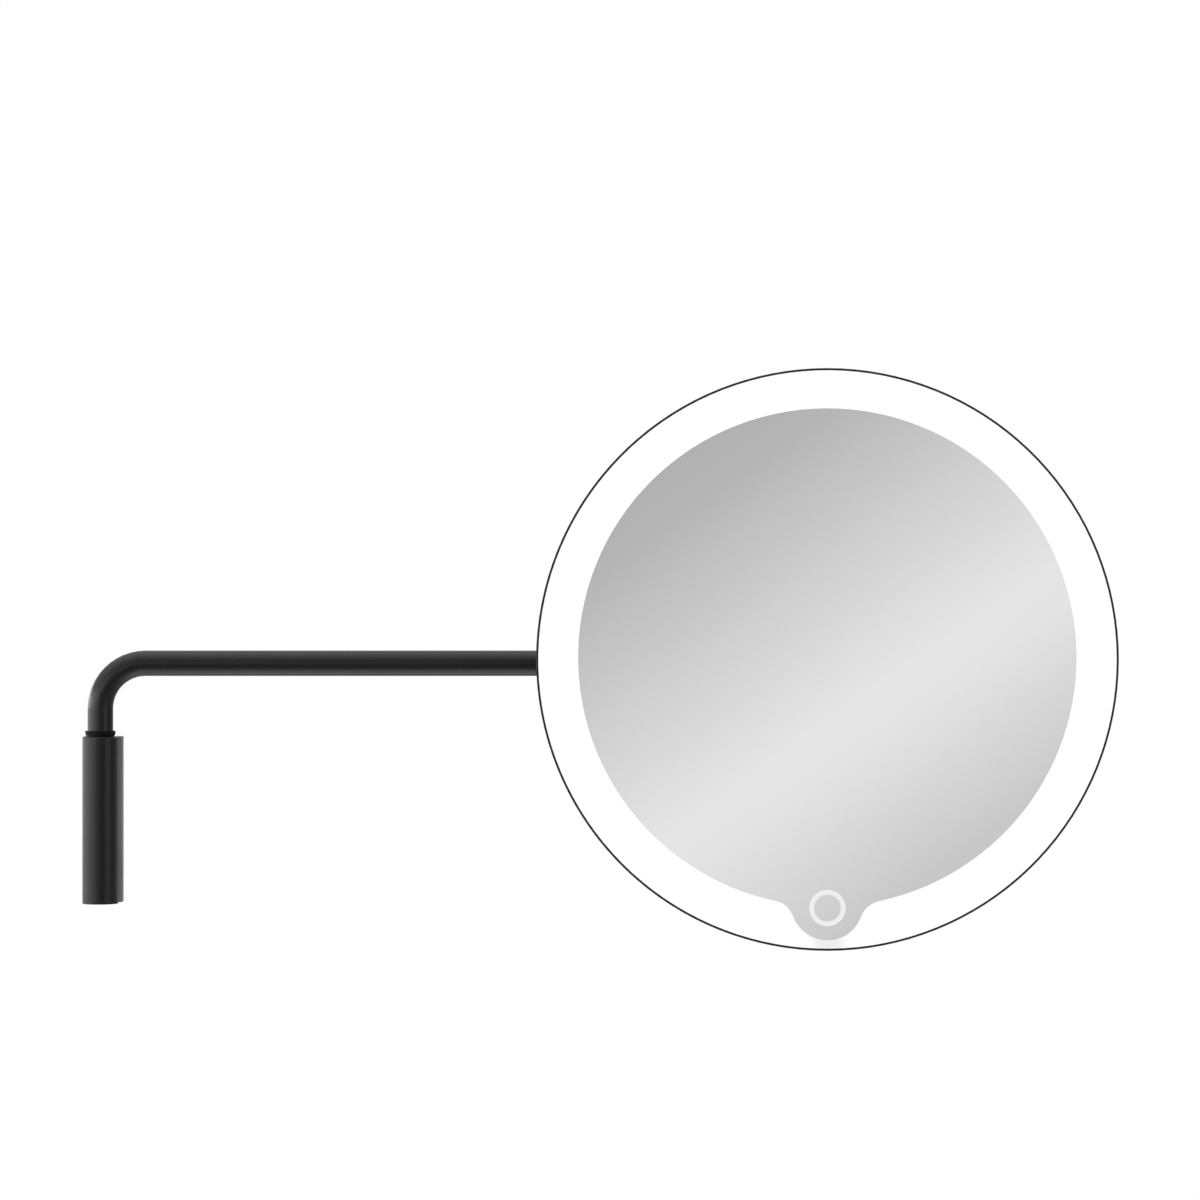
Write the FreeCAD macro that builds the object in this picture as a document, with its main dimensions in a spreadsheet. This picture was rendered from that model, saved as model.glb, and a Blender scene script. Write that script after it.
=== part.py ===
import FreeCAD, Part

# Wall mirror with a lit round head on a bent swing arm, in millimetres.
#
# Frame: the origin lies on the wall, midway between the two wall screws. +Z is up, +Y goes into
# the wall, and +X runs along the arm as drawn, so the mirror looks along -Y.
#
# Three hinges: the arm turns in the wall sleeve about Z, the knuckle turns on the arm's end about Z,
# and the head tilts on the knuckle about X.

import math
import os
import re

import Sketcher

# ---------------------------------------------------------------------------------------------
# Driving dimensions: alias, value in millimetres (or a count), meaning
# ---------------------------------------------------------------------------------------------

SIZES = [
    ("running_clearance", 0.05, "radial, between a pin or tube and the bore it turns in"),
    ("fit_clearance", 0.02, "radial, between pieces that are pressed or screwed together"),
    ("loose_clearance", 0.3, "between pieces that move past each other without touching"),
    ("slip_clearance", 0.1, "between covers and trim that slide into each other"),
    ("thread_relief", 0.5, "how much deeper threaded holes are than their screws"),
    ("fine_bevel", 0.2, "smallest chamfers, on thin rims and pins"),
    ("bevel", 0.5, "chamfers on turned pieces"),
    ("mount_height", 59, "height of the wall cover and of the sleeve"),
    ("channel_margin", 0.65, "how far the wall cover stands out past each side of the sleeve"),
    ("channel_depth", 5.5, "how far the wall cover stands off the wall"),
    ("channel_corner", 1.6, "radius of the wall cover's long front edges"),
    ("channel_side", 1.4, "thickness of the wall cover's long sides"),
    ("channel_end", 4.5, "thickness of the wall cover's two ends"),
    ("plate_thickness", 3, "thickness of the wall plate"),
    ("hook_slope", 1.2, "how far the plate's top edge leans out to hold the cover"),
    ("wall_screw_inset", 7, "distance of each wall screw from the plate's end"),
    ("wall_screw_hole", 4.2, "diameter of the wall screw holes"),
    ("wall_screw_sink", 1.4, "depth of their countersinks"),
    ("lock_screw_diameter", 3, "grub screw that locks the cover to the plate"),
    ("lock_screw_inset", 2.4, "distance of that screw's axis from the wall"),
    ("lock_screw_recess", 0.5, "how far that screw sits inside the cover's foot"),
    ("lock_screw_point", 1.2, "diameter of its blunt point"),
    ("lock_screw_socket", 1.5, "its hexagon socket, across flats"),
    ("lock_screw_socket_depth", 1.4, "depth of that socket"),
    ("sleeve_wall", 1.05, "wall of the upright sleeve"),
    ("weld_flat", 0.35, "depth of the flat on the sleeve's back"),
    ("web_rise", 12.5, "height of the sleeve's inner web above its foot"),
    ("web_thickness", 3, "thickness of that web"),
    ("bushing_wall", 0.73, "wall of both bushings"),
    ("flange_wall", 0.85, "wall of the collar on top of the upper bushing"),
    ("flange_height", 1.5, "height of that collar"),
    ("flange_taper", 0.12, "how much the collar narrows towards its underside"),
    ("neck_wall", 0.45, "wall of the neck in the shadow gap under the collar"),
    ("neck_height", 0.7, "height of that gap"),
    ("bushing_length", 12, "length of each bushing inside the sleeve"),
    ("washer_thickness", 0.8, "thrust washer under the arm"),
    ("disc_thickness", 1, "friction disc under the web"),
    ("spring_thickness", 1, "spring washer under the friction disc"),
    ("spring_slit", 0.5, "width of the slit in the spring washer"),
    ("cap_depth", 4, "end cap's reach into the sleeve"),
    ("cap_wall", 1.2, "wall of the end cap"),
    ("arm_diameter", 9, "outside of the arm tube"),
    ("arm_wall", 1, "wall of the arm tube"),
    ("arm_bend_radius", 16, "centreline radius of the arm's bend"),
    ("arm_rise", 26.1, "height of the arm's level run above the sleeve"),
    ("arm_reach", 255, "distance from the sleeve's axis to the knuckle's upright axis"),
    ("plug_length", 12, "threaded plug in the arm's foot"),
    ("tension_screw_diameter", 4, "screw that sets the swing friction"),
    ("tension_screw_length", 14, "length of its shank"),
    ("tension_screw_head", 7, "diameter of its head"),
    ("tension_screw_height", 2.4, "height of its head"),
    ("eye_diameter", 13, "barrel on the arm's end"),
    ("eye_height", 12, "height of that barrel"),
    ("eye_neck", 9, "from the barrel's axis to the end of the tube"),
    ("spigot_length", 14, "how far the eye's spigot reaches into the tube"),
    ("eye_pin_diameter", 2, "roll pin that holds the eye in the tube"),
    ("pin_diameter", 5, "hinge pins of the knuckle"),
    ("pin_head_diameter", 8, "heads of the hinge pins and their screws"),
    ("pin_head_height", 1.6, "height of those heads"),
    ("pin_thread", 3, "thread of the screws in the hinge pins"),
    ("pin_thread_depth", 8, "depth of the threaded hole in a hinge pin"),
    ("pin_end_gap", 0.2, "between the end of a hinge pin and its screw's head"),
    ("socket_width", 2.5, "hexagon sockets, across flats"),
    ("socket_depth", 1, "depth of the hexagon sockets"),
    ("hinge_washer", 0.5, "thickness of the knuckle's friction washers"),
    ("hinge_washer_diameter", 10, "outside of the knuckle's friction washers"),
    ("ear_thickness", 3.5, "thickness of the fork's and the bracket's ears"),
    ("fork_gap", 1.2, "gap between the eye and the fork's bridge"),
    ("bridge_thickness", 3.5, "thickness of the fork's bridge"),
    ("edge_round", 0.8, "rounding of the fork's edges"),
    ("swivel_to_tilt", 18, "distance between the knuckle's two axes"),
    ("barrel_diameter", 11, "level barrel on the fork"),
    ("barrel_width", 12, "length of that barrel"),
    ("tilt_to_back", 11.5, "from the tilt axis to the back of the head"),
    ("bracket_ear_radius", 6, "rounding of the bracket's ears about the tilt axis"),
    ("bracket_diameter", 44, "disc of the tilt bracket"),
    ("bracket_thickness", 2.5, "thickness of that disc"),
    ("bracket_screw", 3, "screws of the tilt bracket"),
    ("bracket_screw_circle", 30, "their pitch circle"),
    ("bracket_screw_head", 5.6, "their heads' diameter"),
    ("bracket_screw_height", 1.8, "their heads' height"),
    ("bracket_screw_length", 8.5, "length of their shanks"),
    ("knuckle_drop", 2, "how far the tilt axis lies below the head's centre"),
    ("head_diameter", 200, "outside of the head"),
    ("head_depth", 19, "depth of the head"),
    ("housing_wall", 2, "wall of the rear housing"),
    ("housing_lip", 0.7, "thin rim that shows round the light ring"),
    ("housing_round", 7, "rounding of the housing's rear edge"),
    ("glass_thickness", 3, "thickness of the mirror and of the light ring"),
    ("ring_width", 14.5, "width of the light ring, from the head's side to the mirror"),
    ("glass_rise", 0.7, "how far the mirror's centre lies above the head's centre"),
    ("tab_radius", 12.3, "radius of the tab at the mirror's foot"),
    ("tab_margin", 3.6, "from the head's side to the tab's foot"),
    ("tab_fillet", 8.5, "hollow rounding between tab and mirror"),
    ("mark_offset", 1.2, "how far the touch mark's centre lies below the tab's centre"),
    ("mark_inner", 4.55, "inner radius of the touch mark"),
    ("mark_outer", 6.2, "outer radius of the touch mark"),
    ("mark_depth", 0.25, "thickness of the touch mark"),
    ("tape_thickness", 1, "foam tape behind the mirror"),
    ("tape_inner", 40, "inner radius of that tape"),
    ("tape_inset", 7, "from the edge of the tray's raised middle to that tape"),
    ("pad_radius", 7, "touch sensor pad"),
    ("pad_thickness", 0.8, "thickness of that pad"),
    ("tray_plate", 2, "thickness of the tray's middle"),
    ("tray_overlap", 1.5, "how far the mirror reaches past the tray's raised middle"),
    ("tray_wall", 1.5, "walls of the tray's light channel"),
    ("tray_gap", 0.4, "between the tray and the housing's side"),
    ("tray_rear_gap", 4.5, "between the light channel and the housing's back"),
    ("tray_screw_inset", 14, "from the edge of the tray's raised middle to its screws"),
    ("tray_screw", 2.5, "diameter of those screws"),
    ("tray_screw_head", 5.2, "diameter of their sunk heads"),
    ("tray_screw_length", 8, "reach of those screws past the housing's back wall"),
    ("boss_diameter", 7, "screw bosses"),
    ("boss_gap", 3, "between the tray and the bosses behind the tilt bracket"),
    ("strip_gap", 2.5, "from the light channel's inner side to the light strip"),
    ("strip_width", 7, "width of the light strip"),
    ("strip_thickness", 0.3, "thickness of the light strip"),
    ("chip_count", 60, "number of light-emitting diodes"),
    ("chip_length", 3.5, "diode, along the ring"),
    ("chip_width", 2.8, "diode, across the ring"),
    ("chip_height", 0.8, "diode, height"),
    ("board_width", 52, "control board"),
    ("board_height", 26, "control board"),
    ("board_thickness", 1.2, "control board"),
    ("board_margin", 21, "from the board's foot to the edge of the tray's raised middle"),
    ("board_post", 2, "height of the posts under the board"),
    ("post_diameter", 4.6, "diameter of those posts"),
    ("board_screw", 2, "screws of the control board"),
    ("board_screw_head", 3.8, "their heads' diameter"),
    ("board_screw_height", 1.3, "their heads' height"),
    ("board_screw_length", 4, "length of their shanks"),
    ("board_screw_inset", 3, "their distance from the board's edges"),
    ("socket_body_width", 9, "charging socket, outside width"),
    ("socket_body_height", 3.2, "charging socket, outside height"),
    ("socket_shell", 0.35, "charging socket, shell thickness"),
    ("socket_corner", 1.44, "charging socket, rounding of its corners"),
    ("socket_end", 2.6, "charging socket, solid end on the board"),
    ("socket_recess", 0.6, "how far the socket sits below the housing's back"),
    ("tongue_width", 6.6, "contact tongue in the socket"),
    ("tongue_height", 0.7, "contact tongue in the socket"),
    ("tongue_recess", 0.8, "how far that tongue stops short of the mouth"),
    ("connector_depth", 4, "plug connectors on the board, from edge to back"),
    ("connector_height", 3.4, "plug connectors, height above the board"),
    ("power_connector", 6, "connector of the battery, width"),
    ("light_connector", 5, "connector of the lights, width"),
    ("touch_connector", 4, "connector of the touch pad, width"),
    ("controller_size", 7, "controller chip, each side"),
    ("coil_size", 6, "power coil, each side"),
    ("coil_height", 3, "power coil, height"),
    ("small_part_length", 3, "small board parts"),
    ("small_part_width", 1.6, "small board parts"),
    ("small_part_height", 1, "small board parts and controller chip"),
    ("can_radius", 2.2, "round capacitors"),
    ("can_gap", 2.8, "between the round capacitors and the housing's back"),
    ("battery_width", 52, "battery"),
    ("battery_height", 34, "battery"),
    ("battery_thickness", 6, "battery"),
    ("battery_rise", 33, "how far the battery's centre lies above the head's centre"),
    ("battery_corner", 2, "rounding of the battery's corners"),
    ("battery_tape", 0.5, "thickness of the tape under the battery"),
    ("battery_tape_inset", 3, "from the battery's sides to that tape"),
    ("lead_inset", 9, "from the board's side edges to the middle of its connectors"),
    ("lead_gap", 2, "between the two leads of the battery"),
    ("touch_lead", 3, "how far the touch pad's lead runs beside the middle"),
    ("wire_level", 1.8, "height of the leads above the board"),
    ("lead_step", 5.2, "length of a lead's runs where it changes level"),
    ("lead_bend", 2, "bend radius of the leads, in lead radii"),
    ("wire_diameter", 1.2, "leads of the battery and of the lights"),
    ("thin_wire_diameter", 0.8, "lead of the touch pad"),
]

# Values worked out from the driving dimensions. The head's own pieces measure depth from its front.
DERIVED = {
    "arm_radius": "arm_diameter / 2",
    "arm_bore": "arm_radius + running_clearance",
    "bore_radius": "arm_bore + bushing_wall + fit_clearance",
    "sleeve_radius": "bore_radius + sleeve_wall",
    "channel_width": "2 * (sleeve_radius + channel_margin)",
    "plate_width": "channel_width - 2 * (channel_side + slip_clearance)",
    "plate_height": "mount_height - 2 * channel_end",
    "axis_gap": "channel_depth + sleeve_radius - weld_flat",
    "sleeve_top": "mount_height / 2",
    "web_bottom": "web_rise - sleeve_top",
    "web_top": "web_bottom + web_thickness",
    "arm_foot": "web_top + washer_thickness",
    "arm_height": "sleeve_top + arm_rise",
    "tube_bore": "arm_radius - arm_wall",
    "shank_radius": "tension_screw_diameter / 2",
    "screw_hole": "shank_radius + loose_clearance",
    "disc_bottom": "web_bottom - disc_thickness",
    "spring_bottom": "disc_bottom - spring_thickness",
    "eye_radius": "eye_diameter / 2",
    "pin_radius": "pin_diameter / 2",
    "ear_inside": "eye_height / 2 + hinge_washer",
    "ear_outside": "ear_inside + ear_thickness",
    "tilt_ear_inside": "barrel_width / 2 + hinge_washer",
    "tilt_ear_outside": "tilt_ear_inside + ear_thickness",
    "bridge_back": "eye_radius + fork_gap",
    "bridge_front": "bridge_back + bridge_thickness",
    "head_front": "axis_gap + swivel_to_tilt + tilt_to_back + head_depth",
    "head_height": "arm_height + knuckle_drop",
    "head_radius": "head_diameter / 2",
    "housing_inside": "head_radius - housing_wall",
    "rebate_radius": "head_radius - housing_lip",
    "back_inside": "head_depth - housing_wall",
    "glass_radius": "head_radius - ring_width",
    "tab_drop": "head_radius - tab_margin - tab_radius",
    "mark_drop": "tab_drop + mark_offset",
    "tray_radius": "glass_radius - tray_overlap",
    "tray_rim": "housing_inside - tray_gap",
    "tape_outer": "tray_radius - tape_inset",
    "channel_floor": "back_inside - tray_rear_gap",
    "plate_front": "glass_thickness + tape_thickness",
    "plate_back": "plate_front + tray_plate",
    "floor_front": "channel_floor - tray_wall",
    "strip_front": "floor_front - strip_thickness",
    "board_front": "plate_back + board_post",
    "board_back": "board_front + board_thickness",
    "battery_front": "plate_back + battery_tape",
    "strip_inner": "tray_radius + strip_gap",
    "strip_outer": "strip_inner + strip_width",
    "ring_radius": "strip_inner + strip_width / 2",
    "light_lead": "-(board_width / 2 - lead_inset)",
    "light_way": "-sqrt(ring_radius * ring_radius - light_lead * light_lead)",
    "touch_way": "-(tape_outer + thin_wire_diameter + loose_clearance)",
    "boss_height": "back_inside - plate_back - boss_gap",
    "board_drop": "tray_radius - board_margin - board_height / 2",
    "board_top": "-board_drop + board_height / 2",
    "board_foot": "-board_drop - board_height / 2",
    "wire_depth": "board_back + wire_level",
    "socket_mouth": "head_depth - socket_recess",
    "socket_cavity": "socket_mouth - board_back - socket_end",
}

# Where each group of pieces has its own origin.
WALL_AT = ("0", "0", "0")
SLEEVE_AT = ("0", "-axis_gap", "0")
EYE_AT = ("arm_reach", "-axis_gap", "arm_height")
TILT_AT = ("arm_reach", "-axis_gap - swivel_to_tilt", "arm_height")
HEAD_AT = ("arm_reach", "-head_front", "head_height")

doc = FreeCAD.newDocument("ExtendableMirror")
sheet = doc.addObject("Spreadsheet::Sheet", "Sizes")
ALIASES = {alias for alias, number, meaning in SIZES}
pieces = []


def fill_sheet():
    """One row for each driving dimension: its meaning, then its value under its alias."""
    for row, (alias, number, meaning) in enumerate(SIZES, start=1):
        sheet.set(f"A{row}", meaning)
        sheet.set(f"B{row}", str(number))
        sheet.setAlias(f"B{row}", alias)
    doc.recompute()


# ---------------------------------------------------------------------------------------------
# Small helpers around the sheet, sketches and features
# ---------------------------------------------------------------------------------------------


def formula(text):
    """The expression for a formula: derived names are written out, and aliases point to the sheet."""

    def written_out(match):
        word = match[0]
        if word in DERIVED:
            return f"({formula(DERIVED[word])})"
        return f"Sizes.{word}" if word in ALIASES else word

    return re.sub(r"[a-z_]+", written_out, text)


def value(text):
    """What a formula comes to with the sheet's present numbers."""
    return float(sheet.evalExpression(formula(text)))


def bind(item, path, text):
    item.setExpression(path, formula(text))


def place(item, at):
    for axis, text in zip("xyz", at):
        bind(item, f"Placement.Base.{axis}", text)


def new_body(name, at):
    body = doc.addObject("PartDesign::Body", name)
    body.Label = name
    body.AllowCompound = True
    place(body, at)
    pieces.append(body)
    return body


def new_sketch(body, plane, raised="0", shift=("0", "0")):
    """An empty sketch on one of the body's origin planes, raised along the plane's normal."""
    sketch = body.newObject("Sketcher::SketchObject", "Sketch")
    support = [item for item in body.Origin.OriginFeatures if item.Role == f"{plane}_Plane"]
    sketch.AttachmentSupport = [(support[0], "")]
    sketch.MapMode = "FlatFace"
    bind(sketch, "AttachmentOffset.Base.x", shift[0])
    bind(sketch, "AttachmentOffset.Base.y", shift[1])
    bind(sketch, "AttachmentOffset.Base.z", raised)
    return sketch


def constrain(sketch, kind, parts, text):
    """Adds a dimension to a sketch and ties it to a formula."""
    index = sketch.addConstraint(Sketcher.Constraint(kind, *parts, value(text)))
    bind(sketch, f"Constraints[{index}]", text)


def pin_down(sketch, geometry, point, spot):
    constrain(sketch, "DistanceX", (-1, 1, geometry, point), spot[0])
    constrain(sketch, "DistanceY", (-1, 1, geometry, point), spot[1])


def vector(spot):
    return FreeCAD.Vector(value(spot[0]), value(spot[1]), 0)


def add_polygon(sketch, corners):
    """A closed outline of straight sides, each corner given as two formulas."""
    first = sketch.GeometryCount
    count = len(corners)
    for index, corner in enumerate(corners):
        following = corners[(index + 1) % count]
        sketch.addGeometry(Part.LineSegment(vector(corner), vector(following)))
    for index in range(count):
        parts = (first + index, 2, first + (index + 1) % count, 1)
        sketch.addConstraint(Sketcher.Constraint("Coincident", *parts))
    for index, corner in enumerate(corners):
        pin_down(sketch, first + index, 1, corner)


def add_rectangle(sketch, low, high):
    add_polygon(sketch, [low, (high[0], low[1]), high, (low[0], high[1])])


def add_block(sketch, width, height, centre=("0", "0")):
    """A rectangle given by its size and its centre."""
    across, up = centre
    low = (f"{across} - ({width}) / 2", f"{up} - ({height}) / 2")
    high = (f"{across} + ({width}) / 2", f"{up} + ({height}) / 2")
    add_rectangle(sketch, low, high)


def add_circle(sketch, radius, centre=("0", "0")):
    normal = FreeCAD.Vector(0, 0, 1)
    index = sketch.addGeometry(Part.Circle(vector(centre), normal, value(radius)))
    constrain(sketch, "Radius", (index,), radius)
    pin_down(sketch, index, 3, centre)


def add_hexagon(sketch, across_flats):
    """A hexagon about the sketch's origin, for a socket."""
    corners = []
    for step in range(6):
        turn = 60 * step
        reach = f"{across_flats} / sqrt(3)"
        corners.append((f"{reach} * cos({turn})", f"{reach} * sin({turn})"))
    add_polygon(sketch, corners)


def add_feature(body, kind, sketch):
    feature = body.newObject(f"PartDesign::{kind}", kind)
    feature.Profile = sketch
    return feature


def pad(body, sketch, length, both_ways=False, reverse=False):
    feature = add_feature(body, "Pad", sketch)
    bind(feature, "Length", length)
    feature.Midplane = both_ways
    feature.Reversed = reverse
    doc.recompute()
    return feature


def pocket(body, sketch, length=None, both_ways=False, reverse=False):
    """Cuts a sketch out of the body, right through where no length is given."""
    before = body.Shape.Volume
    feature = add_feature(body, "Pocket", sketch)
    if length is None:
        feature.Type = "ThroughAll"
    else:
        bind(feature, "Length", length)
    feature.Midplane = both_ways
    feature.Reversed = reverse
    doc.recompute()
    if not body.Shape.Volume < before - 1e-6:
        raise RuntimeError(f"{body.Label}: {feature.Name} cuts nothing")
    return feature


def revolve(body, sketch, axis="V_Axis"):
    feature = add_feature(body, "Revolution", sketch)
    feature.ReferenceAxis = (sketch, [axis])
    feature.Angle = 360
    doc.recompute()
    return feature


def repeat_round(body, feature, axis, count):
    """Repeats a feature evenly round an axis, given as an object and the axis's name in it."""
    pattern = body.newObject("PartDesign::PolarPattern", "PolarPattern")
    pattern.Originals = [feature]
    pattern.Axis = axis
    pattern.Angle = 360
    bind(pattern, "Occurrences", count)
    body.Tip = pattern
    doc.recompute()
    return pattern


def edges_where(body, wanted):
    """The names of the body's present edges for which wanted(edge) is true."""
    base = body.Tip
    return base, [f"Edge{n}" for n, edge in enumerate(base.Shape.Edges, start=1) if wanted(edge)]


def soften(body, kind, size, wanted):
    """A Fillet or a Chamfer on every edge for which wanted(edge) is true."""
    base, names = edges_where(body, wanted)
    if not names:
        raise RuntimeError(f"{body.Label}: no edge to soften")
    feature = body.newObject(f"PartDesign::{kind}", kind)
    feature.Base = (base, names)
    bind(feature, "Radius" if kind == "Fillet" else "Size", size)
    doc.recompute()
    return feature


def is_near(one, other):
    return abs(one - other) < 1e-4


def is_line_along(edge, axis):
    """Whether an edge is a straight one along x, y or z."""
    if edge.Curve.TypeId != "Part::GeomLine":
        return False
    return is_near(abs(getattr(edge.Curve.Direction, axis)), 1)


def is_circle(edge, radius):
    return edge.Curve.TypeId == "Part::GeomCircle" and is_near(edge.Curve.Radius, radius)


def turned(name, at, plane, corners, axis="V_Axis"):
    """A turned piece: half its section in one of the origin planes, revolved about an axis of it."""
    body = new_body(name, at)
    sketch = new_sketch(body, plane)
    add_polygon(sketch, corners)
    revolve(body, sketch, axis)
    return body


def ring_section(inner, outer, low, high):
    return [(inner, low), (outer, low), (outer, high), (inner, high)]


def turned_over(corners):
    """The same section with its two coordinates swapped, for a piece that lies along X."""
    return [(along, across) for across, along in corners]


# ---------------------------------------------------------------------------------------------
# Wall mount
# ---------------------------------------------------------------------------------------------


def hooked_section(half_height, thickness):
    """A strip's section seen along X: its top edge leans out, so what hangs on it can't fall off."""
    return [
        ("0", f"-({half_height})"),
        (f"-({thickness})", f"-({half_height})"),
        (f"-({thickness})", half_height),
        ("0", f"{half_height} - hook_slope * ({thickness}) / plate_thickness"),
    ]


def make_wall_plate():
    body = new_body("wall_plate", WALL_AT)
    section = new_sketch(body, "YZ")
    add_polygon(section, hooked_section("plate_height / 2", "plate_thickness"))
    pad(body, section, "plate_width", both_ways=True)
    holes = new_sketch(body, "XZ")
    for side in ("-", ""):
        add_circle(holes, "wall_screw_hole / 2", ("0", f"{side}(plate_height / 2 - wall_screw_inset)"))
    pocket(body, holes, both_ways=True)
    front = -value("plate_thickness")
    hole = value("wall_screw_hole / 2")
    soften(
        body,
        "Chamfer",
        "wall_screw_sink",
        lambda edge: is_circle(edge, hole) and is_near(edge.CenterOfMass.y, front),
    )


def make_back_channel():
    body = new_body("back_channel", WALL_AT)
    block = new_sketch(body, "XY")
    add_rectangle(block, ("-channel_width / 2", "-channel_depth"), ("channel_width / 2", "0"))
    pad(body, block, "mount_height", both_ways=True)
    front = -value("channel_depth")
    soften(
        body,
        "Fillet",
        "channel_corner",
        lambda edge: is_line_along(edge, "z") and is_near(edge.CenterOfMass.y, front),
    )
    end = value("mount_height / 2")
    soften(
        body,
        "Chamfer",
        "fine_bevel",
        lambda edge: all(is_near(abs(point.Z), end) for point in edge.Vertexes)
        and is_near(abs(edge.CenterOfMass.z), end)
        and not is_near(edge.CenterOfMass.y, 0),
    )
    inside = new_sketch(body, "YZ")
    high = "plate_height / 2 + slip_clearance"
    add_polygon(inside, hooked_section(high, "plate_thickness + slip_clearance"))
    pocket(body, inside, "plate_width + 2 * slip_clearance", both_ways=True)
    thread = new_sketch(body, "XY", raised="-mount_height / 2")
    add_circle(thread, "lock_screw_diameter / 2 + fit_clearance", ("0", "-lock_screw_inset"))
    pocket(body, thread, "channel_end", reverse=True)


def make_lock_screw():
    """A grub screw with a blunt point that bears on the wall plate's lower edge."""
    tip = "-plate_height / 2"
    foot = "-mount_height / 2 + lock_screw_recess"
    radius = "lock_screw_diameter / 2"
    point = "lock_screw_point / 2"
    body = turned(
        "lock_screw",
        ("0", "-lock_screw_inset", "0"),
        "XZ",
        [("0", foot), (radius, foot), (radius, f"{tip} - ({radius} - {point})"), (point, tip), ("0", tip)],
    )
    drive = new_sketch(body, "XY", raised=foot)
    add_hexagon(drive, "lock_screw_socket")
    pocket(body, drive, "lock_screw_socket_depth", reverse=True)


def make_sleeve_tube():
    """The upright sleeve: bored from both ends down to a web, with a flat along its back."""
    body = turned(
        "sleeve_tube",
        SLEEVE_AT,
        "XZ",
        [
            ("bore_radius", "-sleeve_top"),
            ("sleeve_radius - fine_bevel", "-sleeve_top"),
            ("sleeve_radius", "fine_bevel - sleeve_top"),
            ("sleeve_radius", "sleeve_top - fine_bevel"),
            ("sleeve_radius - fine_bevel", "sleeve_top"),
            ("bore_radius", "sleeve_top"),
            ("bore_radius", "web_top"),
            ("screw_hole", "web_top"),
            ("screw_hole", "web_bottom"),
            ("bore_radius", "web_bottom"),
        ],
    )
    flat = new_sketch(body, "XY")
    low = ("-sleeve_radius", "sleeve_radius - weld_flat")
    add_rectangle(flat, low, ("sleeve_radius", "sleeve_radius + weld_flat"))
    pocket(body, flat, both_ways=True)


def make_upper_bushing():
    """A flanged bushing: its collar stands on a short neck above the sleeve."""
    neck_top = "sleeve_top + neck_height"
    collar_top = "sleeve_top + neck_height + flange_height"
    turned(
        "upper_bushing",
        SLEEVE_AT,
        "XZ",
        [
            ("arm_bore", "sleeve_top - bushing_length"),
            ("bore_radius - fit_clearance", "sleeve_top - bushing_length"),
            ("bore_radius - fit_clearance", "sleeve_top"),
            ("arm_bore + neck_wall", "sleeve_top"),
            ("arm_bore + neck_wall", neck_top),
            ("arm_bore + flange_wall - flange_taper", neck_top),
            ("arm_bore + flange_wall", f"{collar_top} - fine_bevel"),
            ("arm_bore + flange_wall - fine_bevel", collar_top),
            ("arm_bore", collar_top),
        ],
    )


def make_sleeve_rings():
    """The rings inside the sleeve, each a plain section about the arm's axis."""
    snug = "bore_radius - fit_clearance"
    slack = "bore_radius - slip_clearance"
    foot = "arm_foot + bushing_length"
    turned("lower_bushing", SLEEVE_AT, "XZ", ring_section("arm_bore", snug, "arm_foot", foot))
    thrust = ring_section("screw_hole", slack, "web_top", "arm_foot")
    turned("thrust_washer", SLEEVE_AT, "XZ", thrust)
    friction = ring_section("screw_hole", slack, "disc_bottom", "web_bottom")
    turned("friction_disc", SLEEVE_AT, "XZ", friction)


def make_end_cap():
    bottom = "-sleeve_top"
    top = "-sleeve_top + cap_depth"
    outside = "bore_radius - fit_clearance"
    turned(
        "end_cap",
        SLEEVE_AT,
        "XZ",
        [
            ("0", bottom),
            (f"{outside} - fine_bevel", bottom),
            (outside, f"{bottom} + fine_bevel"),
            (outside, top),
            (f"{outside} - cap_wall", top),
            (f"{outside} - cap_wall", f"{bottom} + cap_wall"),
            ("0", f"{bottom} + cap_wall"),
        ],
    )


# ---------------------------------------------------------------------------------------------
# Arm
# ---------------------------------------------------------------------------------------------


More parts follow.
